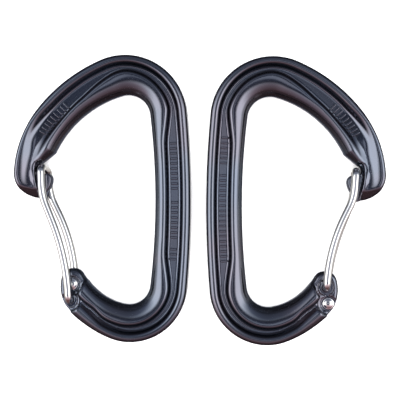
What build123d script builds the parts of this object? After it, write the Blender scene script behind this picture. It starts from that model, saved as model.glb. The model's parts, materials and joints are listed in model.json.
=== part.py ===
from build123d import *
import math
import os

# A pair of identical wiregate carabiners, the metal ends of a quickdraw, lying flat side by side.
# Each is a hot-forged aluminium body with an I-beam section and a gate bent from one stainless wire.
# Millimetres. Each carabiner is drawn about its own middle: X towards the spine, Y up the long axis,
# Z up from the parting plane. The right one is the same part turned over.

# --- driving dimensions -------------------------------------------------------------------------
THICKNESS = 10.8              # forged body, over both rims
HALF = THICKNESS / 2
WEB_HALF = 1.8                # half the web left between the two lengthwise grooves
CORE_HALF = 2.5               # half the nose core and the hinge lobe that stand between the wires
LOBE_HALF = 1.9               # half the hinge lobe left between the heads' seats
EDGE_ROUND = 2.4              # rounding of the body's outer edges

WIRE_R = 1.3
WIRE_Z = HALF - WIRE_R        # height of each leg above the parting plane
BEND_R = 1.9                  # tightest bends of the wire, on its centre line
HEAD_R = 1.95                 # peened head on the end of each leg
HEAD_H = 0.8
HEAD_GAP = 0.05               # end float under each head
PIN_CLEARANCE = 0.05

PIVOT_LOW = (-11.4, -34.7)    # hinge hole that the upper face's leg enters
PIVOT_HIGH = (-10.6, -29.3)   # hinge hole that the lower face's leg enters

LEFT_PLACE = (-32.8, 0.4)     # middle of each carabiner in the row frame
RIGHT_PLACE = (32.8, -0.4)
RIGHT_TURN = -0.3             # the right one lies very slightly turned, in degrees

# The outline is two runs of tangent arcs, (radius, turn in degrees). A left turn is positive, and the
# metal is on the left.
OUTER_START, OUTER_HEADING = (-11, -24), 180
LOBE_ARCS = [(3.5, 74), (13.4, 33.5), (9.5, 27)]
BOTTOM_ARCS = [(41, 24), (19.5, 106.5)]
SPINE_ARCS = [(348, 10)]
ARCH_ARCS = [(21.1, 108), (55, 28.5), (38.5, 35)]
NOSE_ARCS = [(8.5, 82)]
INNER_START, INNER_HEADING = (-16.8, 15.7), 64.5
INNER_ARCS = [
    (-37, -48.5), (-7.7, -99), (-241, -14),       # arch, top corner and spine
    (-7.4, -94), (-20.6, -35), (-23.5, -14),      # bottom corner and bottom arm
    (3.6, 60),                                    # top of the hinge lobe
]

# Nose: the notch that takes the wire's cross bar, and the lip that hooks under it
NOTCH = (-20.6, 10.4)
NOTCH_R = 1.8
NOTCH_TOP = (-21.25, 12.08)
LIP_TOP = [(-20.6, 8.6), (-18.9, 8.9)]
LIP_SIDE = [(-17.5, 7.3), (-18.0, 4.2), (-20.0, 1.6)]
NOSE_BLANK = [(-18.5, 0.6), (-14.6, 5), (-14.6, 11)]      # the nose before its lip is cut
LIP_WASTE = [(-19, -3), (-8, -3), (-8, 12)]

# Recesses in both faces that clear the wire
NOSE_POCKET = [
    (-21.9, -4), (-22.4, 1), (-23.8, 8), (-23.7, 12.9), (-21.4, 13.8), (-18, 13.3), (-8, 12), (-8, -4),
]
NOSE_POCKET_R = 2.0
NOSE_POCKET_ROUNDED = 3       # how many of its corners, from the nose's side, are rounded
SCALLOP_R = 3.6               # hinge recess round each hole, as deep as the nose recess
SEAT_R = 2.7                  # deeper seat for each peened head
HINGE_POCKET = [(-17.5, -33), (-13.5, -37.3), (-8.1, -31.8), (-4.2, -23.7), (-3, -20), (-20, -20)]

# Lengthwise groove in both faces: a channel beside the outer rim, and a wide web at spine and arch
RIM = 2.9                     # outer rim, from the outline to the groove
CHANNEL = 3.1                 # width of the channel
WEB_LAP = 0.5                 # how far each web reaches over the channel
CHANNEL_ENDS = (5, 12)        # how far short of the bottom arm's and the arch's ends it stops, degrees
SPINE_RAIL = 4.2              # inner rim beside each web, from the inner outline
ARCH_RAIL = 4.6
SPINE_TAPER = (2.6, 2.6)      # how far short of its arc's ends each web is at full width, in degrees
ARCH_TAPER = (5, 12)

# Wire, as corners of its centre line seen from above
NEAR_KNEE, NEAR_KNEE_R = (-20.6, 1.2), 22
FAR_KNEE, FAR_KNEE_R = (-19.6, 1.1), 18
NEAR_BOW, NEAR_BOW_R = (-12.35, -19.4), 80
FAR_BOW, FAR_BOW_R = (-11.6, -15.2), 60
NEAR_TOP, FAR_TOP = (-21.0, 10.9), (-20.2, 9.9)
SPRING_START = 0.27           # where the far leg's springing stretch starts, from knee to bow


def run_end(start, heading, arcs, inset=0.0):
    """Where a run of arcs ends, and its heading there."""
    x, y = start
    x -= inset * math.sin(math.radians(heading))
    y += inset * math.cos(math.radians(heading))
    for radius, turn in arcs:
        new = heading + turn
        x += (radius - inset) * (math.sin(math.radians(new)) - math.sin(math.radians(heading)))
        y -= (radius - inset) * (math.cos(math.radians(new)) - math.cos(math.radians(heading)))
        heading = new
    return (x, y), heading


def arc_run(start, heading, arcs, inset=0.0):
    """Adds tangent arcs to the open BuildLine, moved into the metal by inset. Returns the last point."""
    point, heading = run_end(start, heading, [], inset)
    for radius, turn in arcs:
        JernArc(point, Vector(1, 0).rotate(Axis.Z, heading), abs(radius - inset), turn)
        point = run_end(point, heading, [(radius - inset, turn)])[0]
        heading += turn
    return point


def run_start(start, heading, arcs, inset):
    """Where a run of arcs starts, moved into the metal by inset."""
    return run_end(start, heading, [], inset)[0]


def trimmed(arcs, first, last):
    """The same run, its first arc shortened by first degrees and its last by last degrees."""
    arcs = list(arcs)
    arcs[0] = (arcs[0][0], arcs[0][1] - first)
    arcs[-1] = (arcs[-1][0], arcs[-1][1] - last)
    return arcs


def groove_edge(inset):
    """Adds one edge of the channel, from the bottom arm round to the arch. Returns its two ends."""
    lead_in = (BOTTOM_ARCS[0][0], CHANNEL_ENDS[0])
    start, heading = run_end(OUTER_START, OUTER_HEADING, LOBE_ARCS + [lead_in])
    arcs = trimmed(BOTTOM_ARCS + SPINE_ARCS + ARCH_ARCS, *CHANNEL_ENDS)
    return run_start(start, heading, arcs, inset), arc_run(start, heading, arcs, inset)


def inner_rail(index, taper, inset):
    """One arc of the inner outline as a run, shortened at both ends and moved into the metal."""
    radius, turn = INNER_ARCS[index]
    lead_in = [(radius, -taper[0])]
    start, heading = run_end(INNER_START, INNER_HEADING, INNER_ARCS[:index] + lead_in)
    return start, heading, [(radius, turn + sum(taper))], inset


def corner_arc(before, corner, after, radius):
    """Start, middle and end of the arc that rounds a corner of a bent wire."""
    back = (before - corner).normalized()
    ahead = (after - corner).normalized()
    half_angle = math.radians(back.get_angle(ahead)) / 2
    inward = (back + ahead).normalized()
    reach = radius / math.tan(half_angle)
    middle = corner + inward * (radius / math.sin(half_angle) - radius)
    return corner + back * reach, middle, corner + ahead * reach


def bent_wire(corners, radii):
    """Adds a bent wire's centre line to the open BuildLine: straights with an arc at each inner corner."""
    corners = [Vector(*c) for c in corners]
    point = corners[0]
    for i, radius in enumerate(radii):
        arc_start, arc_middle, arc_end = corner_arc(corners[i], corners[i + 1], corners[i + 2], radius)
        Line(point, arc_start)
        ThreePointArc(arc_start, arc_middle, arc_end)
        point = arc_end
    Line(point, corners[-1])


def between(a, b, share):
    """The point that share of the way from a to b."""
    return tuple(p + (q - p) * share for p, q in zip(a, b))


def peened_head(pivot, face_z):
    """Adds a domed head, a slice of a ball, on a leg's end, standing outwards from face_z."""
    up = math.copysign(1, face_z)
    ball_r = (HEAD_R**2 + HEAD_H**2) / (2 * HEAD_H)
    half_angle = math.asin(HEAD_R / ball_r) / 2
    top = face_z + up * HEAD_H
    shoulder = top - up * ball_r * (1 - math.cos(half_angle))
    with BuildSketch(Plane.XZ.offset(-pivot[1])) as profile:
        with BuildLine():
            Line((pivot[0], face_z), (pivot[0] + HEAD_R, face_z))
            ThreePointArc(
                (pivot[0] + HEAD_R, face_z),
                (pivot[0] + ball_r * math.sin(half_angle), shoulder),
                (pivot[0], top),
            )
            Line((pivot[0], top), (pivot[0], face_z))
        make_face()
    revolve(profile.sketch, axis=Axis((pivot[0], pivot[1], 0), (0, 0, 1)))


# --- body ---------------------------------------------------------------------------------------
with BuildPart() as forging:
    # blank: the C outline with its nose still full, rounded along all its edges
    with BuildSketch():
        with BuildLine():
            arcs = LOBE_ARCS + BOTTOM_ARCS + SPINE_ARCS + ARCH_ARCS + NOSE_ARCS
            nose_end = arc_run(OUTER_START, OUTER_HEADING, arcs)
            Polyline(nose_end, *NOSE_BLANK, INNER_START)
            lobe_end = arc_run(INNER_START, INNER_HEADING, INNER_ARCS)
            Line(lobe_end, OUTER_START)
        make_face()
    extrude(amount=HALF, both=True)
    rim_edges = forging.edges().filter_by(lambda e: math.isclose(abs(e.center().Z), HALF, abs_tol=1e-3))
    fillet(rim_edges, EDGE_ROUND)

    # lengthwise grooves in both faces
    to_spine = run_end(OUTER_START, OUTER_HEADING, LOBE_ARCS + BOTTOM_ARCS)
    to_arch = run_end(*to_spine, SPINE_ARCS + ARCH_ARCS[:1])
    spine_rim = (*to_spine, SPINE_ARCS, RIM + WEB_LAP)
    arch_rim = (*to_arch, trimmed(ARCH_ARCS[1:], 0, CHANNEL_ENDS[1]), RIM + WEB_LAP)
    spine_rail = inner_rail(2, SPINE_TAPER, SPINE_RAIL)
    arch_rail = inner_rail(0, ARCH_TAPER, ARCH_RAIL)
    for side in (1, -1):
        with BuildSketch(Plane.XY.offset(side * HALF)):
            with BuildLine():
                near_start, near_end = groove_edge(RIM)
                far_start, far_end = groove_edge(RIM + CHANNEL)
                Line(near_start, far_start)
                Line(near_end, far_end)
            make_face()
            for rim, rail in ((spine_rim, spine_rail), (arch_rim, arch_rail)):
                with BuildLine():
                    Line(arc_run(*rim), run_start(*rail))
                    Line(arc_run(*rail), run_start(*rim))
                make_face()
        extrude(amount=side * (WEB_HALF - HALF), mode=Mode.SUBTRACT)

    # recesses that clear the wire, beside the nose core and on the hinge lobe
    for side in (1, -1):
        with BuildSketch(Plane.XY.offset(side * CORE_HALF)):
            with BuildLine():
                Polyline(*NOSE_POCKET, close=True)
            nose_face = make_face()
            fillet(nose_face.vertices().sort_by(Axis.X)[:NOSE_POCKET_ROUNDED], NOSE_POCKET_R)
        extrude(amount=side * HALF, mode=Mode.SUBTRACT)
        with BuildSketch(Plane.XY.offset(side * CORE_HALF)):
            with Locations(PIVOT_LOW, PIVOT_HIGH):
                Circle(SCALLOP_R)
            with BuildLine():
                Polyline(*HINGE_POCKET, close=True)
            make_face()
        extrude(amount=side * HALF, mode=Mode.SUBTRACT)
        with BuildSketch(Plane.XY.offset(side * LOBE_HALF)):
            with Locations(PIVOT_LOW, PIVOT_HIGH):
                Circle(SEAT_R)
        extrude(amount=side * HALF, mode=Mode.SUBTRACT)

    # the lip under the notch, and the two hinge holes
    with BuildSketch():
        with BuildLine():
            Polyline(LIP_SIDE[-1], *LIP_WASTE, INNER_START, NOTCH_TOP)
            ThreePointArc(NOTCH_TOP, (NOTCH[0] - NOTCH_R, NOTCH[1]), LIP_TOP[0])
            Line(*LIP_TOP)
            Spline(LIP_TOP[1], *LIP_SIDE)
        make_face()
    extrude(amount=HALF, both=True, mode=Mode.SUBTRACT)
    with Locations(PIVOT_LOW, PIVOT_HIGH):
        Hole(WIRE_R + PIN_CLEARANCE)

# --- wire gate ----------------------------------------------------------------------------------
HEAD_Z = LOBE_HALF + HEAD_GAP
SPRING_FROM = between(FAR_KNEE, FAR_BOW, SPRING_START)

with BuildPart() as gate:
    with BuildLine() as near_leg:
        bent_wire(
            [
                (*PIVOT_LOW, -HEAD_Z), (*PIVOT_LOW, WIRE_Z), (*NEAR_BOW, WIRE_Z), (*NEAR_KNEE, WIRE_Z),
                (*NEAR_TOP, WIRE_Z), (*FAR_TOP, -WIRE_Z), (*FAR_KNEE, -WIRE_Z), (*SPRING_FROM, -WIRE_Z),
            ],
            [BEND_R, NEAR_BOW_R, NEAR_KNEE_R, BEND_R, BEND_R, FAR_KNEE_R],
        )
    with BuildSketch(Plane((*PIVOT_LOW, -HEAD_Z))):
        Circle(WIRE_R)
    sweep(path=near_leg.line)
    peened_head(PIVOT_LOW, -HEAD_Z)

with BuildPart() as spring_leg:
    with BuildLine() as far_leg:
        bent_wire(
            [(*PIVOT_HIGH, HEAD_Z), (*PIVOT_HIGH, -WIRE_Z), (*FAR_BOW, -WIRE_Z), (*SPRING_FROM, -WIRE_Z)],
            [BEND_R, FAR_BOW_R],
        )
    with BuildSketch(Plane((*PIVOT_HIGH, HEAD_Z))):
        Circle(WIRE_R)
    sweep(path=far_leg.line)
    peened_head(PIVOT_HIGH, HEAD_Z)

# --- the pair -----------------------------------------------------------------------------------
left_at = Location((*LEFT_PLACE, HALF))
right_at = Location((*RIGHT_PLACE, HALF), (0, 0, RIGHT_TURN)) * Location((0, 0, 0), (0, 180, 0))

with BuildPart() as left_body:
    with Locations(left_at):
        add(forging.part)
left_body.part.label = "left_body"

with BuildPart() as left_gate:
    with Locations(left_at):
        add(gate.part)
left_gate.part.label = "left_gate"

with BuildPart() as left_gate_spring_leg:
    with Locations(left_at):
        add(spring_leg.part)
left_gate_spring_leg.part.label = "left_gate_spring_leg"

with BuildPart() as right_body:
    with Locations(right_at):
        add(forging.part)
right_body.part.label = "right_body"

with BuildPart() as right_gate:
    with Locations(right_at):
        add(gate.part)
right_gate.part.label = "right_gate"

with BuildPart() as right_gate_spring_leg:
    with Locations(right_at):
        add(spring_leg.part)
right_gate_spring_leg.part.label = "right_gate_spring_leg"

os.makedirs("parts", exist_ok=True)
export_step(left_body.part, "parts/left_body.step")
export_step(left_gate.part, "parts/left_gate.step")
export_step(left_gate_spring_leg.part, "parts/left_gate_spring_leg.step")
export_step(right_body.part, "parts/right_body.step")
export_step(right_gate.part, "parts/right_gate.step")
export_step(right_gate_spring_leg.part, "parts/right_gate_spring_leg.step")
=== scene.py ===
"""Looks of a pair of wiregate carabiners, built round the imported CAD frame.

Blender works in metres in the row's frame. Each carabiner is drawn in millimetres about its own middle, as
in the CAD source: X towards the spine, Y up the long axis, Z up from the parting plane.
"""

import json
import math

import bpy
import numpy as np
from mathutils import Matrix, Vector


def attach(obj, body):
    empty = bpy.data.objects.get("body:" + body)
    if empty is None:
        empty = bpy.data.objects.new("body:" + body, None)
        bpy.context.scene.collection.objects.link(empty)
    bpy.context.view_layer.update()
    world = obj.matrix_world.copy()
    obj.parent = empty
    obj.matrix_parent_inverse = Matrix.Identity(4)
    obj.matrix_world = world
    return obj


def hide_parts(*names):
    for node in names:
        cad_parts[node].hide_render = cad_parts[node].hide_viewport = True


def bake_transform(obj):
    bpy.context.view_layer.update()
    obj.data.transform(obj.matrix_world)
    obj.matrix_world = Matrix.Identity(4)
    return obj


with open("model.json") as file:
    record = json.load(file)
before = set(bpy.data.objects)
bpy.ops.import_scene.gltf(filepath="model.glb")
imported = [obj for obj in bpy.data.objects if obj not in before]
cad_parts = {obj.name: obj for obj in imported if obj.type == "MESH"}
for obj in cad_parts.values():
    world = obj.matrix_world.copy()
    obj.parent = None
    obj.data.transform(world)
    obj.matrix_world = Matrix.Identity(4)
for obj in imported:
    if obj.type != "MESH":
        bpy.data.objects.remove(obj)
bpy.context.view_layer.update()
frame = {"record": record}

MM = 0.001

# --- the carabiner's driving dimensions, as in the CAD source ------------------------------------
HALF = 5.4                    # half the forged body's thickness
CORE_HALF = 2.5               # half the nose core and the hinge lobe that stand between the wires
LOBE_HALF = 1.9               # half the hinge lobe left between the heads' seats
WIRE_R = 1.3
WIRE_Z = HALF - WIRE_R
PIVOT_LOW = (-11.4, -34.7)
PIVOT_HIGH = (-10.6, -29.3)
RIGHT_TURN = -0.3             # degrees

# Outlines as runs of tangent arcs, (radius, turn in degrees), with the metal on the left
OUTER_START, OUTER_HEADING = (-11, -24), 180
LOBE_ARCS = [(3.5, 74), (13.4, 33.5), (9.5, 27)]
BOTTOM_ARCS = [(41, 24), (19.5, 106.5)]
SPINE_ARCS = [(348, 10)]
ARCH_ARCS = [(21.1, 108), (55, 28.5), (38.5, 35)]
NOSE_ARCS = [(8.5, 82)]
INNER_START, INNER_HEADING = (-16.8, 15.7), 64.5
INNER_ARCS = [
    (-37, -48.5), (-7.7, -99), (-241, -14), (-7.4, -94), (-20.6, -35), (-23.5, -14), (3.6, 60),
]

# Nose lip and notch
NOTCH, NOTCH_R = (-20.6, 10.4), 1.8
NOTCH_TOP = (-21.25, 12.08)
LIP = [(-20.6, 8.6), (-18.9, 8.9), (-17.5, 7.3), (-18.0, 4.2), (-20.0, 1.6)]
GATE_SIDE_LEFT = -60          # where the gate opening is closed off, well outside the body
NOSE_FOOT = (-19, -3)
NOSE_BEVEL_Y, NOSE_BEVEL_Z = 3.9, 4.5     # where the bevel at the nose's end starts
NOSE_BEVEL_LEAN = 47          # degrees from level
NOSE_BEVEL_FADE, NOSE_BEVEL_STEEPNESS = -22.5, 2      # it runs out past this, towards the lip, this fast
NOSE_BEVEL_R = 0.6
NOSE_RUN_OUT = 14             # how far the groove's edges run straight on past the nose's rounded end
CLOSING_RUN = 12              # closes the outer outline across the gate opening
STRAIGHT_ON_CORNER = (0, -20)

# Recesses that clear the wire
NOSE_POCKET = [
    (-21.9, -4), (-22.4, 1), (-23.8, 8), (-23.7, 12.9), (-21.4, 13.8), (-18, 13.3), (-8, 12), (-8, -4),
]
HINGE_POCKET = [(-17.5, -33), (-13.5, -37.3), (-8.1, -31.8), (-4.2, -23.7), (-3, -20), (-20, -20)]
SCALLOP_R = 3.6
SEAT_R = 2.7
HOLE_PLAY = 0.05              # gap round the wire in its hinge hole

# --- section of the forging along its outline ----------------------------------------------------
# Each station is a point near the outer outline, then: where the groove's floor starts and ends, measured
# in from the outer outline; the floor's height above the parting plane; how far the groove's two walls lean,
# in degrees; the outer rounding; and the inner rounding's width and height.
STATIONS = [
    # point            floor's   wall slopes  outer  inner rounding
    #                  start end height  outer inner  width, height
    ((-9.0, -39.0),    5.4,   5.9,   3.2,   40, 16,  3.4,   4.0,   4.2),
    ((-5.5, -41.0),    5.4,   6.4,   2.8,   38, 14,  3.4,   4.6,   4.6),
    ((-2.0, -44.5),    4.1,   5.0,   2.5,   24, 12,  2.8,   5.6,   4.8),
    ((8.0, -48.0),     3.4,   5.3,   2.2,    9, 10,  1.9,   6.2,   5.0),
    ((24.0, -40.0),    3.3,   5.6,   2.0,    9, 10,  1.8,   6.2,   5.0),
    ((29.5, -30.0),    3.3,   5.6,   1.9,    9, 10,  1.8,   5.2,   4.8),
    ((30.0, -20.0),    3.3,   7.6,   1.8,    9, 10,  1.8,   3.4,   4.4),
    ((30.0, 20.0),     3.3,   7.6,   1.8,    9, 10,  1.8,   3.4,   4.4),
    ((28.5, 30.5),     3.3,   5.6,   1.9,    9, 10,  1.8,   5.4,   4.8),
    ((22.0, 41.0),     3.3,   5.6,   2.0,    9, 10,  1.7,   6.3,   5.0),
    ((8.0, 49.0),      3.1,   5.0,   2.2,    9, 10,  1.6,   6.8,   5.0),
    ((-1.0, 47.0),     3.3,   6.1,   2.0,    9, 10,  1.7,   5.4,   4.8),
    ((-11.0, 42.0),    3.4,   7.9,   1.9,    9, 10,  1.8,   4.2,   4.6),
    ((-20.0, 33.0),    3.4,   8.5,   1.8,    9, 10,  1.8,   4.0,   4.5),
    ((-26.5, 22.0),    3.4,   7.5,   3.8,   50, 40,  1.8,   3.6,   4.5),
    ((-28.9, 17.5),    4.7,   6.4,   3.4,   53, 54,  1.8,   3.2,   4.5),
    ((-29.6, 14.5),    4.9,   6.0,   3.5,   57, 60,  1.8,   3.2,   4.5),
    ((-30.2, 10.0),    5.0,   5.7,   3.7,   60, 60,  1.9,   3.2,   4.5),
    ((-30.2, 4.5),     5.0,   5.7,   3.7,   62, 62,  2.0,   3.2,   4.5),
    ((-28.5, 1.0),     5.0,   5.7,   3.8,   63, 64,  3.0,   3.2,   4.5),
]
CREST_R = 1.05                # rounding where groove and rims meet
FLOOR_R = 0.9                 # fillet at the groove's floor
RECESS_R = 0.5                # fillet at the recesses' floors
LOBE_ROUND = 1.5              # rounding of the hinge lobe's outer edge
LOBE_ROUND_MIN = 0.01         # keeps its square root real past the outline
HINGE_EDGE_R = 1.0            # rounding where the arm rises from the hinge lobe
RECESS_LEAN = 20              # how far the nose recess's wall leans, in degrees
RECESS_EDGE_R = 0.35          # rounding of the nose recess's rim
SEAT_EDGE_R = 0.25

CELL = 0.4        # mesh cell of the forging, mm
PLAN_STEP = 0.2    # step of the plan-view distance maps, mm
PLAN_MARGIN = 2.0
GRID_MARGIN = 1.0             # free space above and below the forging in the contouring grid


# --- plan-view outlines and distance maps --------------------------------------------------------
def run_points(start, heading, arcs, step=0.5):
    """Points along a run of tangent arcs, and the heading at its end."""
    points = [start]
    for radius, turn in arcs:
        x, y = points[-1]
        count = max(2, int(abs(math.radians(turn) * radius) / step))
        for i in range(1, count + 1):
            new = heading + turn * i / count
            points.append((
                x + radius * (math.sin(math.radians(new)) - math.sin(math.radians(heading))),
                y - radius * (math.cos(math.radians(new)) - math.cos(math.radians(heading))),
            ))
        heading += turn
    return points, heading


def smooth_points(corners, rounds=3):
    """An open line through the corners with its bends cut smooth, by Chaikin's rule."""
    points = [Vector(c) for c in corners]
    for _ in range(rounds):
        cut = [points[0]]
        for a, b in zip(points, points[1:]):
            cut += [a.lerp(b, 0.25), a.lerp(b, 0.75)]
        points = cut + [points[-1]]
    return [tuple(p) for p in points]


def distance_map(x, y, outline):
    """Signed distance to a closed outline, positive inside, and the length along it of the nearest point."""
    best = np.full(x.shape, 1e9)
    along = np.zeros(x.shape)
    inside = np.zeros(x.shape, bool)
    travelled = 0.0
    for (ax, ay), (bx, by) in zip(outline, outline[1:] + outline[:1]):
        dx, dy = bx - ax, by - ay
        length = math.hypot(dx, dy)
        if length < 1e-9:
            continue
        t = np.clip(((x - ax) * dx + (y - ay) * dy) / length**2, 0, 1)
        distance = (x - ax - t * dx) ** 2 + (y - ay - t * dy) ** 2
        nearer = distance < best
        best = np.where(nearer, distance, best)
        along = np.where(nearer, travelled + t * length, along)
        if ay != by:
            crosses = ((ay > y) != (by > y)) & (x < ax + (y - ay) * dx / dy)
            inside ^= crosses
        travelled += length
    return np.where(inside, 1, -1) * np.sqrt(best), along


def smoothed(values, passes):
    """A map averaged with its neighbours."""
    for _ in range(passes):
        for axis in (0, 1):
            values = (np.roll(values, 1, axis) + 2 * values + np.roll(values, -1, axis)) / 4
    return values


FIRST_SECTION_MAP = 6         # the distance maps come first, then the stations' numbers in their order
FLOOR_MAP = FIRST_SECTION_MAP + 2
EASING_STEPS = 800            # steps along the outline at which the stations are eased
EASING_WIDTH = 31             # width of the easing window, in those steps


class Plan:
    """Distance maps of one carabiner seen from above, sampled at any point."""

    def __init__(self):
        outer, heading = run_points(
            OUTER_START, OUTER_HEADING, LOBE_ARCS + BOTTOM_ARCS + SPINE_ARCS + ARCH_ARCS + NOSE_ARCS
        )
        inner, _ = run_points(INNER_START, INNER_HEADING, INNER_ARCS)
        notch = [
            (NOTCH[0] + NOTCH_R * math.cos(math.radians(a)), NOTCH[1] + NOTCH_R * math.sin(math.radians(a)))
            for a in range(270, 110, -15)
        ]
        lip = smooth_points([NOSE_FOOT] + LIP[::-1])
        void = lip + notch + [NOTCH_TOP] + inner
        void += [(GATE_SIDE_LEFT, inner[-1][1]), (GATE_SIDE_LEFT, NOSE_FOOT[1])]
        straight_on, down = run_points(
            OUTER_START, OUTER_HEADING, LOBE_ARCS + BOTTOM_ARCS + SPINE_ARCS + ARCH_ARCS
        )
        straight_on.append((
            straight_on[-1][0] + NOSE_RUN_OUT * math.cos(math.radians(down)),
            straight_on[-1][1] + NOSE_RUN_OUT * math.sin(math.radians(down)),
        ))
        nose_end = Vector(outer[-1])
        ahead = Vector((math.cos(math.radians(heading)), math.sin(math.radians(heading))))
        closing = [tuple(nose_end + ahead * CLOSING_RUN), (0, -CLOSING_RUN)]

        points = np.array(outer)
        self.low = points.min(0) - PLAN_MARGIN
        self.high = points.max(0) + PLAN_MARGIN
        counts = np.ceil((self.high - self.low) / PLAN_STEP).astype(int) + 1
        x, y = np.meshgrid(
            self.low[0] + np.arange(counts[0]) * PLAN_STEP,
            self.low[1] + np.arange(counts[1]) * PLAN_STEP,
            indexing="ij",
        )
        u, along = distance_map(x, y, outer + closing)
        groove_u = (distance_map(x, y, straight_on + [STRAIGHT_ON_CORNER])[0] + u) / 2
        v = -distance_map(x, y, void)[0]
        pocket = distance_map(x, y, smooth_points(NOSE_POCKET + NOSE_POCKET[:1]))[0]
        hinge = distance_map(x, y, smooth_points(HINGE_POCKET + HINGE_POCKET[:1], 2))[0]
        holes = np.minimum(
            np.hypot(x - PIVOT_LOW[0], y - PIVOT_LOW[1]), np.hypot(x - PIVOT_HIGH[0], y - PIVOT_HIGH[1])
        )
        hinge = np.maximum(hinge, SCALLOP_R - holes)
        section = self.sections(outer, along)
        self.maps = np.stack([u, groove_u, v, pocket, hinge, holes, *section], -1)

    def sections(self, outer, along):
        """The section's numbers at every point, eased between stations."""
        points = np.array(outer)
        lengths = np.concatenate([[0], np.cumsum(np.hypot(*np.diff(points, axis=0).T))])
        at = [lengths[np.argmin(np.hypot(*(points - s[0]).T))] for s in STATIONS]
        maps = []
        for column in range(1, len(STATIONS[0])):
            values = np.array([s[column] for s in STATIONS])
            fine = np.linspace(0, lengths[-1], EASING_STEPS)
            eased = np.interp(fine, at, values)
            window = np.hanning(EASING_WIDTH)
            padded = np.pad(eased, EASING_WIDTH // 2, mode="edge")
            eased = np.convolve(padded, window / window.sum(), "valid")
            maps.append(smoothed(np.interp(along, fine, eased), 2))
        return maps

    def sample(self, x, y):
        """All maps at the given points, by linear interpolation."""
        gx = np.clip((x - self.low[0]) / PLAN_STEP, 0, self.maps.shape[0] - 1.001)
        gy = np.clip((y - self.low[1]) / PLAN_STEP, 0, self.maps.shape[1] - 1.001)
        ix, iy = gx.astype(int), gy.astype(int)
        fx, fy = (gx - ix)[..., None], (gy - iy)[..., None]
        a, b = self.maps[ix, iy], self.maps[ix + 1, iy]
        c, d = self.maps[ix, iy + 1], self.maps[ix + 1, iy + 1]
        return (a * (1 - fx) + b * fx) * (1 - fy) + (c * (1 - fx) + d * fx) * fy


# --- the forging as a solid field, negative inside -----------------------------------------------
def both(a, b, radius):
    """Inside both fields, with the edge between them rounded."""
    corner = np.hypot(np.maximum(a + radius, 0), np.maximum(b + radius, 0)) - radius
    return np.where((a > -radius) & (b > -radius), corner, np.maximum(a, b))


def cut(solid, hollow, radius):
    """The solid less the hollow, with the rim rounded."""
    return both(solid, -hollow, radius)


def elliptic_edge(inset, height, width, rise):
    """A slab's field with an elliptic edge: inset from its wall, height above the parting plane."""
    px = np.maximum(width - inset, 0) / width
    pz = np.maximum(height - (HALF - rise), 0) / rise
    k0 = np.hypot(px, pz)
    k1 = np.maximum(np.hypot(px / width, pz / rise), 1e-6)
    edge = k0 * (k0 - 1) / k1
    return np.where(k0 > 0.3, edge, np.maximum(-inset, height - HALF))


def forging_field(plan, points):
    """The forged body's field at an array of points, mm."""
    height = np.abs(points[..., 2])
    maps = np.moveaxis(plan.sample(points[..., 0], points[..., 1]), -1, 0)
    u, groove_u, v, pocket, hinge, holes = maps[:FIRST_SECTION_MAP]
    start, end, floor, outer_lean, inner_lean, outer_r, inner_w, inner_h = maps[FIRST_SECTION_MAP:]
    solid = np.maximum(
        both(-u, height - HALF, outer_r),
        elliptic_edge(v, height, inner_w, inner_h),
    )
    above = height - floor
    outer_lean, inner_lean = np.radians(outer_lean), np.radians(inner_lean)
    outer_wall = (start - groove_u) * np.cos(outer_lean) - above * np.sin(outer_lean)
    inner_wall = (groove_u - end) * np.cos(inner_lean) - above * np.sin(inner_lean)
    solid = cut(solid, both(np.maximum(outer_wall, inner_wall), -above, FLOOR_R), CREST_R)
    pocket = pocket - (HALF - height) * math.tan(math.radians(RECESS_LEAN))
    solid = cut(solid, both(-pocket, CORE_HALF - height, RECESS_R), RECESS_EDGE_R)
    edge = np.maximum(LOBE_ROUND - np.minimum(u, v), 0)
    lobe_top = CORE_HALF - LOBE_ROUND + np.sqrt(np.maximum(LOBE_ROUND**2 - edge**2, LOBE_ROUND_MIN))
    solid = cut(solid, both(-hinge, lobe_top - height, RECESS_R), HINGE_EDGE_R)
    solid = cut(solid, both(holes - SEAT_R, LOBE_HALF - height, SEAT_EDGE_R), SEAT_EDGE_R)
    x, y = points[..., 0], points[..., 1]
    fade = NOSE_BEVEL_STEEPNESS * np.maximum(x - NOSE_BEVEL_FADE, 0)
    lean = math.radians(NOSE_BEVEL_LEAN)
    bevel = (NOSE_BEVEL_Y - y) * math.sin(lean) + (height - NOSE_BEVEL_Z) * math.cos(lean) - fade
    solid = np.where(y > NOSE_FOOT[1], both(solid, bevel, NOSE_BEVEL_R), solid)
    return np.maximum(solid, WIRE_R + HOLE_PLAY - holes)


def gradient(field, points, step=0.04):
    """The field's slope at an array of points."""
    out = np.empty(points.shape)
    for axis in range(3):
        shift = np.zeros(3)
        shift[axis] = step
        out[..., axis] = (field(points + shift) - field(points - shift)) / (2 * step)
    return out


NUDGE = 0.25                  # most that one correction moves an edge crossing, in cells
PULL_TO_MIDDLE = 0.08         # holds each vertex near its crossings' middle where the surface is flat


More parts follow.
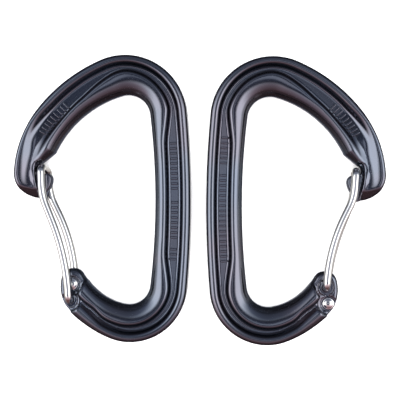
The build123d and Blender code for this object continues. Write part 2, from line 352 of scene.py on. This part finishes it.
def contour_mesh(field, low, high, cell):
    """Vertices and quads of the field's zero surface by dual contouring, which keeps its ridges crisp."""
    counts = np.ceil((high - low) / cell).astype(int) + 1
    axes = [low[i] + np.arange(counts[i]) * cell for i in range(3)]
    grid = np.stack(np.meshgrid(*axes, indexing="ij"), -1)
    values = field(grid)
    cells = counts - 1
    total = int(np.prod(cells))
    strides = np.array([cells[1] * cells[2], cells[2], 1])
    normal_sum = np.zeros((total, 3, 3))
    offset_sum = np.zeros((total, 3))
    centre_sum = np.zeros((total, 3))
    hits = np.zeros(total)
    edges = []
    for axis in range(3):
        first = [slice(None)] * 3
        second = [slice(None)] * 3
        first[axis], second[axis] = slice(None, -1), slice(1, None)
        a, b = values[tuple(first)], values[tuple(second)]
        where = np.argwhere((a < 0) != (b < 0))
        inner = np.ones(len(where), bool)
        for other in range(3):
            if other != axis:
                inner &= (where[:, other] > 0) & (where[:, other] < cells[other])
        where = where[inner]
        fa, fb = a[tuple(where.T)], b[tuple(where.T)]
        start = low + where * cell
        share = fa / (fa - fb)
        crossing = start.astype(float)
        crossing[:, axis] += share * cell
        miss = field(crossing)
        slope = (fb - fa) / cell
        correction = np.clip(-miss / slope, -NUDGE * cell, NUDGE * cell)
        crossing[:, axis] = np.clip(crossing[:, axis] + correction, start[:, axis], start[:, axis] + cell)
        normal = gradient(field, crossing)
        normal /= np.linalg.norm(normal, axis=1, keepdims=True) + 1e-12
        side_a, side_b = [o for o in range(3) if o != axis]
        around = []
        for da, db in ((-1, -1), (0, -1), (0, 0), (-1, 0)):
            cell_at = where.copy()
            cell_at[:, side_a] += da
            cell_at[:, side_b] += db
            index = cell_at @ strides
            around.append(index)
            for i in range(3):
                for j in range(3):
                    normal_sum[:, i, j] += np.bincount(index, normal[:, i] * normal[:, j], total)
                offset_sum[:, i] += np.bincount(
                    index, normal[:, i] * (normal * crossing).sum(1), total
                )
                centre_sum[:, i] += np.bincount(index, crossing[:, i], total)
            hits += np.bincount(index, minlength=total)
        flip = (fa < 0) != (axis == 1)
        quad = np.stack(around, 1)
        quad[~flip] = quad[~flip][:, ::-1]
        edges.append(quad)
    used = np.flatnonzero(hits)
    centre = centre_sum[used] / hits[used, None]
    squares = normal_sum[used] + PULL_TO_MIDDLE * np.eye(3)
    target = offset_sum[used] - np.einsum("nij,nj->ni", normal_sum[used], centre)
    vertices = centre + np.linalg.solve(squares, target[..., None])[..., 0]
    corner = low + np.stack(np.unravel_index(used, cells), 1) * cell
    vertices = np.clip(vertices, corner, corner + cell)
    number = np.full(total, -1)
    number[used] = np.arange(len(used))
    return vertices, number[np.concatenate(edges)]


# --- placing -------------------------------------------------------------------------------------
joints = {j["name"]: j for j in frame["record"]["behaviour"]["joints"]}


def placing(side):
    """Matrix from a carabiner's own millimetres to the row's metres."""
    pivot = Vector(joints[side + "_gate_hinge"]["pos_m"]) / MM
    turn = Matrix.Identity(4)
    if side == "right":
        turn = Matrix.Rotation(math.radians(RIGHT_TURN), 4, "Z") @ Matrix.Rotation(math.pi, 4, "Y")
    offset = pivot - turn @ Vector((*PIVOT_LOW, 0))
    return Matrix.Scale(MM, 4) @ Matrix.Translation(offset) @ turn


def mesh_object(name, vertices, faces, place, material):
    """A smooth-shaded object from vertices in a carabiner's own millimetres."""
    world = np.asarray(vertices, float) @ np.array(place.to_3x3()).T + np.array(place.translation)
    mesh = bpy.data.meshes.new(name)
    mesh.from_pydata(world.tolist(), [], [list(map(int, f)) for f in faces])
    mesh.update()
    mesh.polygons.foreach_set("use_smooth", [True] * len(mesh.polygons))
    obj = bpy.data.objects.new(name, mesh)
    bpy.context.collection.objects.link(obj)
    obj.data.materials.append(material)
    return obj


# --- wire ----------------------------------------------------------------------------------------
NEAR_KNEE, NEAR_KNEE_R = (-20.6, 1.2), 22
FAR_KNEE, FAR_KNEE_R = (-19.6, 1.1), 18
NEAR_BOW, NEAR_BOW_R = (-12.35, -19.4), 80
FAR_BOW, FAR_BOW_R = (-11.6, -15.2), 60
NEAR_TOP, FAR_TOP = (-21.0, 10.9), (-20.2, 9.9)
SPRING_START = 0.27
BEND_R = 1.9
HEAD_R, HEAD_H, HEAD_GAP = 1.95, 0.8, 0.05
TUBE_SIDES = 32
END_RING = 0.03               # how close an extra ring sits to each flat end, for crisp shading


def bent_line(corners, radii, arc_step=0.35, straight_step=1.0):
    """Points along straights joined by an arc at each inner corner."""
    corners = [Vector(c) for c in corners]
    points = [corners[0]]
    for i, radius in enumerate(radii):
        before, corner, after = corners[i:i + 3]
        back, ahead = (before - corner).normalized(), (after - corner).normalized()
        half = back.angle(ahead) / 2
        middle = corner + (back + ahead).normalized() * (radius / math.sin(half))
        reach = radius / math.tan(half)
        first = corner + back * reach - middle
        last = corner + ahead * reach - middle
        turn = math.pi - 2 * half
        count = max(6, int(turn * radius / arc_step))
        for k in range(count + 1):
            share = turn * k / count
            points.append(middle + (first * math.sin(turn - share) + last * math.sin(share)) / math.sin(turn))
    points.append(corners[-1])
    filled = [points[0]]
    for point in points[1:]:
        gap = (point - filled[-1]).length
        parts = max(1, int(gap / straight_step))
        filled += [filled[-1].lerp(point, k / parts) for k in range(1, parts + 1)]
    return filled


def tube(points, radius):
    """Vertices and quads of a round tube with flat closed ends, rings turned as little as possible."""
    first, last = points[0].lerp(points[1], END_RING), points[-1].lerp(points[-2], END_RING)
    points = [points[0], first, *points[1:-1], last, points[-1]]
    tangents = []
    for i in range(len(points)):
        tangents.append((points[min(i + 1, len(points) - 1)] - points[max(i - 1, 0)]).normalized())
    side = tangents[0].orthogonal().normalized()
    vertices, faces = [], []
    for i, (point, tangent) in enumerate(zip(points, tangents)):
        side = (side - tangent * side.dot(tangent)).normalized()
        up = tangent.cross(side)
        for k in range(TUBE_SIDES):
            a = 2 * math.pi * k / TUBE_SIDES
            vertices.append(point + (side * math.cos(a) + up * math.sin(a)) * radius)
        if i:
            for k in range(TUBE_SIDES):
                n = (k + 1) % TUBE_SIDES
                base = (i - 1) * TUBE_SIDES
                faces.append((base + k, base + n, base + n + TUBE_SIDES, base + k + TUBE_SIDES))
    faces.append(tuple(range(TUBE_SIDES))[::-1])
    last = (len(points) - 1) * TUBE_SIDES
    faces.append(tuple(range(last, last + TUBE_SIDES)))
    return vertices, faces


def head(pivot, face_z, rings=9, rim=0.22):
    """Vertices and quads of a peened head: a low dome with a rounded rim."""
    up = math.copysign(1, face_z)
    profile = [(0.0, HEAD_H)]
    ball = (HEAD_R**2 + HEAD_H**2) / (2 * HEAD_H)
    for i in range(1, rings + 1):
        r = (HEAD_R - rim) * i / rings
        profile.append((r, HEAD_H - ball + math.sqrt(ball**2 - r**2)))
    edge_z = profile[-1][1]
    for degrees in range(30, 181, 30):
        a = math.radians(degrees)
        profile.append((HEAD_R - rim + rim * math.sin(a), edge_z * (0.5 + 0.5 * math.cos(a))))
    vertices = [Vector((*pivot, face_z + up * profile[0][1]))]
    faces = []
    for r, z in profile[1:]:
        for k in range(TUBE_SIDES):
            a = 2 * math.pi * k / TUBE_SIDES
            vertices.append(Vector((pivot[0] + r * math.cos(a), pivot[1] + r * math.sin(a), face_z + up * z)))
    for k in range(TUBE_SIDES):
        n = (k + 1) % TUBE_SIDES
        faces.append((0, 1 + k, 1 + n))
        for ring in range(len(profile) - 2):
            b = 1 + ring * TUBE_SIDES
            faces.append((b + k, b + k + TUBE_SIDES, b + n + TUBE_SIDES, b + n))
    faces.append(tuple(1 + (len(profile) - 2) * TUBE_SIDES + k for k in range(TUBE_SIDES)))
    if up < 0:
        faces = [f[::-1] for f in faces]
    return vertices, faces


def joined(*shapes):
    """Several vertex and face lists as one."""
    vertices, faces = [], []
    for more_vertices, more_faces in shapes:
        base = len(vertices)
        vertices += list(more_vertices)
        faces += [tuple(base + i for i in f) for f in more_faces]
    return vertices, faces


def gate_shapes():
    """The rigid part of the wire gate and its springing leg."""
    head_z = LOBE_HALF + HEAD_GAP
    spring_from = tuple(a + (b - a) * SPRING_START for a, b in zip(FAR_KNEE, FAR_BOW))
    rigid = bent_line(
        [
            (*PIVOT_LOW, -head_z), (*PIVOT_LOW, WIRE_Z), (*NEAR_BOW, WIRE_Z), (*NEAR_KNEE, WIRE_Z),
            (*NEAR_TOP, WIRE_Z), (*FAR_TOP, -WIRE_Z), (*FAR_KNEE, -WIRE_Z), (*spring_from, -WIRE_Z),
        ],
        [BEND_R, NEAR_BOW_R, NEAR_KNEE_R, BEND_R, BEND_R, FAR_KNEE_R],
    )
    spring = bent_line(
        [(*PIVOT_HIGH, head_z), (*PIVOT_HIGH, -WIRE_Z), (*FAR_BOW, -WIRE_Z), (*spring_from, -WIRE_Z)],
        [BEND_R, FAR_BOW_R],
    )
    return (
        joined(tube(rigid, WIRE_R), head(PIVOT_LOW, -head_z)),
        joined(tube(spring, WIRE_R), head(PIVOT_HIGH, head_z)),
        spring_from,
    )


# --- raised ribs on the webs, in place of lettering ----------------------------------------------
RIB_PITCH = 1.75
RIB_HALF_WIDTH = 0.42
RIB_TOP = 0.42                # height above the web
RIB_ROUND = 0.24
RIB_SIDES = 16
RIB_ROOT = 0.3                # depth below the web's surface
SPINE_RIBS = {"upper": [(20.5, 3.5), (-0.5, -13.5), (-16.5, -21.0)], "lower": [(23.0, 13.0), (9.0, -21.0)]}
SPINE_RIB_INSET, SPINE_RIB_LENGTH = 5.55, 2.5
ARCH_RIBS = (36.5, 24.5)      # from this height on the outline to that one
ARCH_RIB_INSET, ARCH_RIB_LENGTH = 6.1, 3.0


def rib(centre, across, length, top, under):
    """Vertices and faces of one raised rib: a stadium with a rounded top edge, lying along across."""
    along = Vector((-across[1], across[0]))
    shapes = []
    levels = [(under, 0.0)]
    for degrees in (0, 30, 60, 90):
        a = math.radians(degrees)
        levels.append((top - RIB_ROUND * (1 - math.sin(a)), RIB_ROUND * (math.cos(a) - 1)))
    levels.append((top, -RIB_ROUND - END_RING))
    for z, grow in levels:
        radius = RIB_HALF_WIDTH + grow
        ring = []
        for k in range(RIB_SIDES):
            a = 2 * math.pi * (k + 0.5) / RIB_SIDES
            reach = math.copysign(length / 2 - RIB_HALF_WIDTH, math.cos(a)) + radius * math.cos(a)
            spot = centre + across * reach + along * (radius * math.sin(a))
            ring.append(Vector((*spot, z)))
        shapes.append(ring)
    vertices = [p for ring in shapes for p in ring]
    faces = []
    for level in range(len(shapes) - 1):
        base = level * RIB_SIDES
        for k in range(RIB_SIDES):
            n = (k + 1) % RIB_SIDES
            faces.append((base + k, base + n, base + RIB_SIDES + n, base + RIB_SIDES + k))
    faces.append(tuple(range(RIB_SIDES))[::-1])
    faces.append(tuple(range(len(vertices) - RIB_SIDES, len(vertices))))
    return vertices, faces


def turned_over(vertices, faces):
    """A shape mirrored in the parting plane."""
    return [Vector((v.x, v.y, -v.z)) for v in vertices], [f[::-1] for f in faces]


def rib_shapes(plan):
    """All ribs on both faces of one carabiner, standing on the groove's floor."""
    outline, _ = run_points(OUTER_START, OUTER_HEADING, LOBE_ARCS + BOTTOM_ARCS + SPINE_ARCS + ARCH_ARCS, 0.1)
    points = [Vector(p) for p in outline]
    spine = [(p, q) for p, q in zip(points, points[1:]) if p.x > 25]
    arch = [(p, q) for p, q in zip(points, points[1:]) if p.x < -8 and p.y > 0]
    ribs = []
    for face in ("upper", "lower"):
        rows = [(spine, SPINE_RIB_INSET, SPINE_RIB_LENGTH, high, low) for high, low in SPINE_RIBS[face]]
        rows.append((arch, ARCH_RIB_INSET, ARCH_RIB_LENGTH, *ARCH_RIBS))
        for run, inset, length, high, low in rows:
            travelled = RIB_PITCH
            for p, q in run:
                if low <= p.y <= high:
                    travelled += (q - p).length
                    if travelled >= RIB_PITCH:
                        travelled -= RIB_PITCH
                        heading = (q - p).normalized()
                        across = Vector((-heading.y, heading.x))
                        centre = p + across * inset
                        web = float(plan.sample(np.array(centre.x), np.array(centre.y))[FLOOR_MAP])
                        shape = rib(centre, across, length, web + RIB_TOP, web - RIB_ROOT)
                        ribs.append(shape if face == "upper" else turned_over(*shape))
    return joined(*ribs)


# --- materials -----------------------------------------------------------------------------------
def new_material(name):
    """An empty node material and its Principled shader."""
    material = bpy.data.materials.new(name)
    material.use_nodes = True
    nodes = material.node_tree.nodes
    return material, nodes, material.node_tree.links, nodes["Principled BSDF"]


def noise(nodes, links, coordinates, scale, detail=3.0, roughness=0.55):
    """A noise texture on the given coordinates."""
    node = nodes.new("ShaderNodeTexNoise")
    node.inputs["Scale"].default_value = scale
    node.inputs["Detail"].default_value = detail
    node.inputs["Roughness"].default_value = roughness
    links.new(coordinates, node.inputs["Vector"])
    return node.outputs["Fac"]


def ramp(nodes, links, factor, stops):
    """A colour ramp over the factor."""
    node = nodes.new("ShaderNodeValToRGB")
    elements = node.color_ramp.elements
    elements[0].position, elements[0].color = stops[0][0], (*stops[0][1], 1)
    elements[1].position, elements[1].color = stops[-1][0], (*stops[-1][1], 1)
    for position, colour in stops[1:-1]:
        elements.new(position).color = (*colour, 1)
    links.new(factor, node.inputs["Fac"])
    return node.outputs["Color"]


def remapped(nodes, links, value, low, high, to_low, to_high):
    """A value moved from one range to another."""
    node = nodes.new("ShaderNodeMapRange")
    for socket, number in zip(("From Min", "From Max", "To Min", "To Max"), (low, high, to_low, to_high)):
        node.inputs[socket].default_value = number
    links.new(value, node.inputs["Value"])
    return node.outputs["Result"]


def calculated(nodes, links, operation, *values):
    """A Math node's result; values may be numbers or sockets."""
    node = nodes.new("ShaderNodeMath")
    node.operation = operation
    for socket, value in zip(node.inputs, values):
        if isinstance(value, (int, float)):
            socket.default_value = value
        else:
            links.new(value, socket)
    return node.outputs[0]


def bumped(nodes, links, height, distance, strength, under=None):
    """A bump normal from a height."""
    node = nodes.new("ShaderNodeBump")
    node.inputs["Distance"].default_value = distance
    node.inputs["Strength"].default_value = strength
    links.new(height, node.inputs["Height"])
    if under is not None:
        links.new(under, node.inputs["Normal"])
    return node.outputs["Normal"]


def anodised_material():
    """Near-black satin anodising on a tumbled forging, drifting from blue to a purplish brown."""
    material, nodes, links, shader = new_material("anodised_forging")
    place = nodes.new("ShaderNodeTexCoord").outputs["Object"]
    drift = noise(nodes, links, place, 40, 2)
    tint = ramp(nodes, links, drift, [
        (0.38, (0.152, 0.170, 0.207)), (0.52, (0.158, 0.171, 0.201)), (0.66, (0.173, 0.167, 0.194)),
    ])
    links.new(tint, shader.inputs["Base Color"])
    grain = noise(nodes, links, place, 2600, 2)
    links.new(remapped(nodes, links, grain, 0.3, 0.7, 0.13, 0.17), shader.inputs["Roughness"])
    peel = noise(nodes, links, place, 260, 2)
    fine = bumped(nodes, links, grain, 0.000006, 0.12)
    links.new(bumped(nodes, links, peel, 0.00008, 0.06, fine), shader.inputs["Normal"])
    shader.inputs["Metallic"].default_value = 0.991
    shader.inputs["Specular Tint"].default_value = (0.30, 0.31, 0.34, 1)
    return material


def wire_material():
    """Bright drawn stainless wire."""
    material, nodes, links, shader = new_material("drawn_wire")
    place = nodes.new("ShaderNodeTexCoord").outputs["Object"]
    stretch = nodes.new("ShaderNodeMapping")
    stretch.inputs["Scale"].default_value = (1, 0.05, 1)
    links.new(place, stretch.inputs["Vector"])
    lines = noise(nodes, links, stretch.outputs["Vector"], 3500, 2)
    cloud = noise(nodes, links, place, 300, 2)
    links.new(ramp(nodes, links, cloud, [(0.35, (0.73, 0.72, 0.70)), (0.65, (0.80, 0.79, 0.77))]),
              shader.inputs["Base Color"])
    links.new(remapped(nodes, links, lines, 0.3, 0.7, 0.05, 0.09), shader.inputs["Roughness"])
    links.new(bumped(nodes, links, lines, 0.00002, 0.03), shader.inputs["Normal"])
    shader.inputs["Metallic"].default_value = 1.0
    return material


def floor_material():
    """Plain white paper."""
    material, nodes, links, shader = new_material("white_paper")
    place = nodes.new("ShaderNodeTexCoord").outputs["Object"]
    fibres = noise(nodes, links, place, 900, 4)
    links.new(ramp(nodes, links, fibres, [(0.3, (0.90, 0.90, 0.90)), (0.7, (0.93, 0.93, 0.93))]),
              shader.inputs["Base Color"])
    shader.inputs["Roughness"].default_value = 0.9
    shader.inputs["Specular IOR Level"].default_value = 0.1
    return material


# --- building ------------------------------------------------------------------------------------
anodised = anodised_material()
wire = wire_material()

plan = Plan()
grid_low = np.array([*(plan.low + PLAN_MARGIN / 2), -HALF - GRID_MARGIN])
grid_high = np.array([*plan.high, HALF + GRID_MARGIN])
body_vertices, body_faces = contour_mesh(lambda p: forging_field(plan, p), grid_low, grid_high, CELL)
rigid_wire, spring_wire, spring_from = gate_shapes()
ribs = rib_shapes(plan)

for side in ("left", "right"):
    place = placing(side)
    body = mesh_object(side + "_forging", body_vertices, body_faces, place, anodised)
    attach(body, side + "_carabiner")
    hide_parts(side + "_body")

    marks = mesh_object(side + "_web_ribs", *ribs, place, anodised)
    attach(marks, side + "_carabiner")

    gate = mesh_object(side + "_wire", *rigid_wire, place, wire)
    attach(gate, side + "_gate")
    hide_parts(side + "_gate")

    leg = mesh_object(side + "_wire_spring_leg", *spring_wire, place, wire)
    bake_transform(leg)
    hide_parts(side + "_gate_spring_leg")

# --- floor, light and camera ---------------------------------------------------------------------
FLOOR_SIZE = 3.0
FLOOR_DROP = 0.00005          # keeps the floor off the crests that rest on it
bpy.ops.mesh.primitive_plane_add(size=FLOOR_SIZE, location=(0, 0, -FLOOR_DROP))
floor = bpy.context.object
floor.name = "paper_floor"
floor.data.materials.append(floor_material())
floor.visible_glossy = False


def soft_box(name, position, size_x, size_y, watts):
    """A rectangular light aimed at the object's middle that neither the camera nor shiny surfaces see."""
    data = bpy.data.lights.new(name, "AREA")
    data.shape = "RECTANGLE"
    data.size, data.size_y = size_x, size_y
    data.energy = watts
    light = bpy.data.objects.new(name, data)
    light.location = position
    light.rotation_euler = Vector(position).to_track_quat("Z", "Y").to_euler()
    light.visible_camera = False
    light.visible_glossy = False
    bpy.context.collection.objects.link(light)


PAPER_LIGHT_HEIGHT, PAPER_LIGHT_SIZE, PAPER_LIGHT_WATTS = 0.9, 1.2, 26
soft_box(
    "paper_light", (0, 0, PAPER_LIGHT_HEIGHT), PAPER_LIGHT_SIZE, PAPER_LIGHT_SIZE, PAPER_LIGHT_WATTS
)


BACKDROP = (0.78, 0.78, 0.79)          # what the camera sees past the floor
SIDE_LIGHT, END_LIGHT = 2.65, 1.20     # the bright band's radiance to the sides, and up and down the page
SIDE_FOCUS = 3.0                       # how sharply the band's light gathers to the sides
ABOVE_ONE = 1.0001                     # keeps the square root off zero straight up and down

# The sky's stops run from 0 straight down, through 0.5 at the horizon, to 1 straight up
BAND_STOPS = [
    (0.0, (0.03,) * 3), (0.30, (0.10,) * 3), (0.50, (0.22,) * 3), (0.64, (0.35,) * 3), (0.74, (1.0,) * 3),
    (0.925, (1.0,) * 3), (0.965, (0.0,) * 3), (1.0, (0.0,) * 3),
]
SKY_STOPS = [
    (0.0, (1.1, 1.08, 1.04)), (0.05, (0.62, 0.60, 0.57)), (0.15, (0.24, 0.23, 0.21)),
    (0.35, (0.20, 0.19, 0.17)), (0.495, (0.44, 0.43, 0.40)), (0.57, (0.21, 0.21, 0.21)),
    (0.64, (0.06, 0.065, 0.08)), (0.965, (0.055, 0.068, 0.11)), (0.988, (0.085, 0.105, 0.17)),
    (0.9915, (0.14, 0.15, 0.20)), (0.9962, (0.66, 0.68, 0.77)), (1.0, (0.74, 0.76, 0.86)),
]
# Tint from the bottom of the page, 0, to its top, 1
PAGE_STOPS = [
    (0.06, (0.25, 0.135, 0.145)), (0.22, (0.48, 0.36, 0.39)), (0.40, (1.0, 0.98, 1.0)),
    (0.60, (0.98, 1.0, 1.03)), (0.78, (0.18, 0.20, 0.26)), (0.95, (0.11, 0.12, 0.16)),
]


def combined(nodes, links, operation, a, b):
    """Two colours multiplied or added; b may be a single number's socket."""
    node = nodes.new("ShaderNodeMix")
    node.data_type, node.blend_type = "RGBA", operation
    node.inputs["Factor"].default_value = 1.0
    links.new(a, node.inputs["A"])
    links.new(b, node.inputs["B"])
    return node.outputs["Result"]


def studio_world():
    """A bright patch overhead, a dark ring, a band brightest to the sides, and a dim table, bright below."""
    world = bpy.data.worlds.new("studio")
    bpy.context.scene.world = world
    world.use_nodes = True
    nodes, links = world.node_tree.nodes, world.node_tree.links
    direction = nodes.new("ShaderNodeTexCoord").outputs["Generated"]
    split = nodes.new("ShaderNodeSeparateXYZ")
    links.new(direction, split.inputs[0])
    x, y, z = split.outputs
    flat = calculated(nodes, links, "SUBTRACT", ABOVE_ONE, calculated(nodes, links, "MULTIPLY", z, z))
    level = calculated(nodes, links, "SQRT", flat)
    across = calculated(nodes, links, "ABSOLUTE", calculated(nodes, links, "DIVIDE", x, level))
    sideways = calculated(nodes, links, "POWER", across, SIDE_FOCUS)
    strength = calculated(nodes, links, "MULTIPLY_ADD", sideways, SIDE_LIGHT - END_LIGHT, END_LIGHT)
    lift = remapped(nodes, links, z, -1, 1, 0, 1)
    band = combined(nodes, links, "MULTIPLY", ramp(nodes, links, lift, BAND_STOPS), strength)
    light = combined(nodes, links, "ADD", band, ramp(nodes, links, lift, SKY_STOPS))
    tint = ramp(nodes, links, remapped(nodes, links, y, -1, 1, 0, 1), PAGE_STOPS)
    seen = nodes.new("ShaderNodeMix")
    seen.data_type = "RGBA"
    seen.inputs["B"].default_value = (*BACKDROP, 1)
    links.new(nodes.new("ShaderNodeLightPath").outputs["Is Camera Ray"], seen.inputs["Factor"])
    links.new(combined(nodes, links, "MULTIPLY", light, tint), seen.inputs["A"])
    links.new(seen.outputs["Result"], nodes["Background"].inputs["Color"])


studio_world()

CAMERA_TARGET = Vector((0.00044, -0.00005, 0.0054))
CAMERA_DISTANCE = 0.270
CAMERA_TILT = math.radians(2)         # towards +X, off straight down
SENSOR_WIDTH, LENS = 36, 70.75        # mm
camera_data = bpy.data.cameras.new("camera")
camera_data.sensor_width = SENSOR_WIDTH
camera_data.lens = LENS
camera = bpy.data.objects.new("camera", camera_data)
camera.location = CAMERA_TARGET + Vector((math.sin(CAMERA_TILT), 0, math.cos(CAMERA_TILT))) * CAMERA_DISTANCE
camera.rotation_euler = (0, CAMERA_TILT, 0)
bpy.context.collection.objects.link(camera)
bpy.context.scene.camera = camera
bpy.context.scene.view_settings.view_transform = "Standard"
